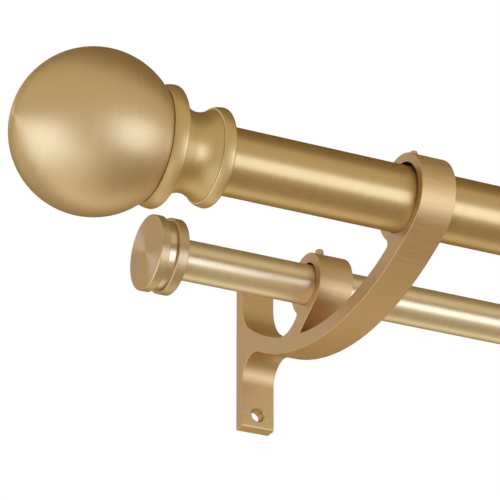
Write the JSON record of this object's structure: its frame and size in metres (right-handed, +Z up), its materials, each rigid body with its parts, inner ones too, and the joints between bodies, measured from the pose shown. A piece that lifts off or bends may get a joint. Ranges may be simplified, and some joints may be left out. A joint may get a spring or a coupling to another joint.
{
  "type": "double curtain pole",
  "caption": "Wall-mounted double curtain pole: thick front and thin back telescoping tubes, ball finials, grooved end caps and curled one-piece brackets with rings.",
  "frame": {"origin": "on the wall face of the left bracket, midway between its two screw holes", "axes": "+X along the poles from the left end to the right end, +Y into the wall, +Z up"},
  "size_m": [0.8678, 0.1669, 0.0756],
  "materials": {
    "pole_gold": "satin gold plating, finely brushed",
    "bracket_gold": "satin gold, finely brushed",
    "screw_brass": "plain turned brass",
    "nylon": "natural nylon",
    "zinc_steel": "zinc-plated steel"
  },
  "bodies": {
    "left_half": {"bracket_left": "bracket_gold", "front_outer_tube": "pole_gold", "back_outer_tube": "pole_gold", "front_set_screw_left": "screw_brass", "back_set_screw_left": "screw_brass", "front_end_plug_left": "nylon", "back_end_plug_left": "nylon", "ball_left": "pole_gold", "ball_bush_left": "zinc_steel", "collar_left": "pole_gold", "finial_stud_left": "zinc_steel", "end_cap_left": "pole_gold", "end_cap_stud_left": "zinc_steel"},
    "right_half": {"bracket_right": "bracket_gold", "front_inner_tube": "pole_gold", "back_inner_tube": "pole_gold", "front_glide": "nylon", "back_glide": "nylon", "front_set_screw_right": "screw_brass", "back_set_screw_right": "screw_brass", "front_end_plug_right": "nylon", "back_end_plug_right": "nylon", "ball_right": "pole_gold", "ball_bush_right": "zinc_steel", "collar_right": "pole_gold", "finial_stud_right": "zinc_steel", "end_cap_right": "pole_gold", "end_cap_stud_right": "zinc_steel"}
  },
  "joints": [
    {"name": "pole_extend", "type": "slide", "parent": "left_half", "child": "right_half", "axis": [1, 0, 0], "range_m": [0, 0.508]}
  ]
}
